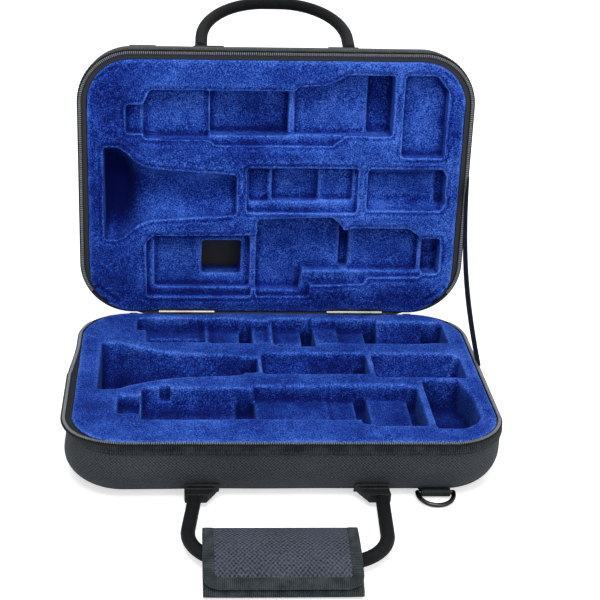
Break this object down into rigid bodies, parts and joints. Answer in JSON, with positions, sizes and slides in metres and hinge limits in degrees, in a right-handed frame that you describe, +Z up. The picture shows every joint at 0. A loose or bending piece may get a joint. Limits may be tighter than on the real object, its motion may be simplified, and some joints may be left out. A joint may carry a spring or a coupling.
{
  "type": "clarinet case",
  "caption": "Rectangular zipped soft case with a fitted plush interior for a dismantled clarinet, hinged lid standing open, carrying loops and a wrap-round grip.",
  "frame": {"origin": "centre of the base's flat bottom face, where it stands", "axes": "+X right seen from the handle side, -Y towards the handle, +Z up"},
  "size_m": [0.3418, 0.4876, 0.3116],
  "materials": {
    "ballistic_nylon": "matte",
    "inner_shell": "matte",
    "blue_plush": "matte",
    "zip_tape_cloth": "matte",
    "zip_coil_nylon": "satin",
    "nickel_steel": "satin",
    "webbing": "matte",
    "hook_tape": "matte",
    "gunmetal": "gloss"
  },
  "bodies": {
    "base": {"base_cover": "ballistic_nylon", "base_shell": "inner_shell", "base_insert": "blue_plush", "base_zip_tape": "zip_tape_cloth", "base_zip_coil": "zip_coil_nylon", "hinge_leaf_base_left": "nickel_steel", "hinge_leaf_base_right": "nickel_steel", "hinge_pin_left": "nickel_steel", "hinge_pin_right": "nickel_steel", "hinge_rivets_base": "nickel_steel", "spine_fabric": "ballistic_nylon", "stay_strap": "webbing", "base_loop_tab_left": "webbing", "base_loop_tab_right": "webbing", "base_d_ring_tab": "webbing", "zip_end_stops": "zip_tape_cloth"},
    "lid": {"lid_cover": "ballistic_nylon", "lid_shell": "inner_shell", "lid_insert": "blue_plush", "lid_zip_tape": "zip_tape_cloth", "lid_zip_coil": "zip_coil_nylon", "hinge_leaf_lid_left": "nickel_steel", "hinge_leaf_lid_right": "nickel_steel", "hinge_rivets_lid": "nickel_steel", "lid_loop_tab_left": "webbing", "lid_loop_tab_right": "webbing", "lid_d_ring_tab": "webbing"},
    "base_loop": {"base_loop": "webbing", "grip_sleeve": "ballistic_nylon", "grip_loop_patch": "hook_tape"},
    "grip_flap": {"grip_flap": "ballistic_nylon", "grip_flap_binding": "webbing", "grip_hook_patch": "hook_tape"},
    "lid_loop": {"lid_loop": "webbing"},
    "base_d_ring": {"base_d_ring": "gunmetal"},
    "lid_d_ring": {"lid_d_ring": "gunmetal"},
    "zip_slider_left": {"zip_slider_left": "gunmetal"},
    "zip_slider_right": {"zip_slider_right": "gunmetal"},
    "zip_pull_left": {"zip_pull_left": "gunmetal"},
    "zip_pull_right": {"zip_pull_right": "gunmetal"}
  },
  "joints": [
    {"name": "lid_hinge", "type": "hinge", "parent": "base", "child": "lid", "pos_m": [0, 0.11865, 0.052], "axis": [1, 0, 0], "range_deg": [0, 92], "deforming": ["spine_fabric", "stay_strap"]},
    {"name": "base_loop_swing", "type": "hinge", "parent": "base", "child": "base_loop", "pos_m": [0, -0.1315, 0.0085], "axis": [-1, 0, 0], "range_deg": [0, 60]},
    {"name": "grip_flap_hinge", "type": "hinge", "parent": "base_loop", "child": "grip_flap", "pos_m": [-0.01, -0.19061, 0.02235], "axis": [1, 0, 0], "range_deg": [-100, 0]},
    {"name": "lid_loop_swing", "type": "hinge", "parent": "lid", "child": "lid_loop", "pos_m": [0, 0.17183, 0.28204], "axis": [-1, 0, 0], "range_deg": [-72, 0]},
    {"name": "base_d_ring_swing", "type": "hinge", "parent": "base", "child": "base_d_ring", "pos_m": [0.1156, -0.11149, 0.00452], "axis": [-1, 0, 0], "range_deg": [0, 65]},
    {"name": "lid_d_ring_swing", "type": "hinge", "parent": "lid", "child": "lid_d_ring", "pos_m": [-0.1156, 0.16814, 0.28056], "axis": [1, 0, 0], "range_deg": [0, 65]},
    {"name": "zip_slider_left_travel", "type": "hinge", "parent": "base", "child": "zip_slider_left", "pos_m": [-0.124, 0.07235, 0.0463], "axis": [0, 0, 1], "range_deg": [0, 90]},
    {"name": "zip_slider_right_travel", "type": "hinge", "parent": "base", "child": "zip_slider_right", "pos_m": [0.124, 0.07235, 0.0463], "axis": [0, 0, -1], "range_deg": [0, 90]},
    {"name": "zip_pull_left_swing", "type": "hinge", "parent": "zip_slider_left", "child": "zip_pull_left", "pos_m": [-0.124, 0.1236, 0.0463], "axis": [1, 0, 0], "range_deg": [0, 85]},
    {"name": "zip_pull_right_swing", "type": "hinge", "parent": "zip_slider_right", "child": "zip_pull_right", "pos_m": [0.124, 0.1236, 0.0463], "axis": [1, 0, 0], "range_deg": [0, 85]}
  ]
}
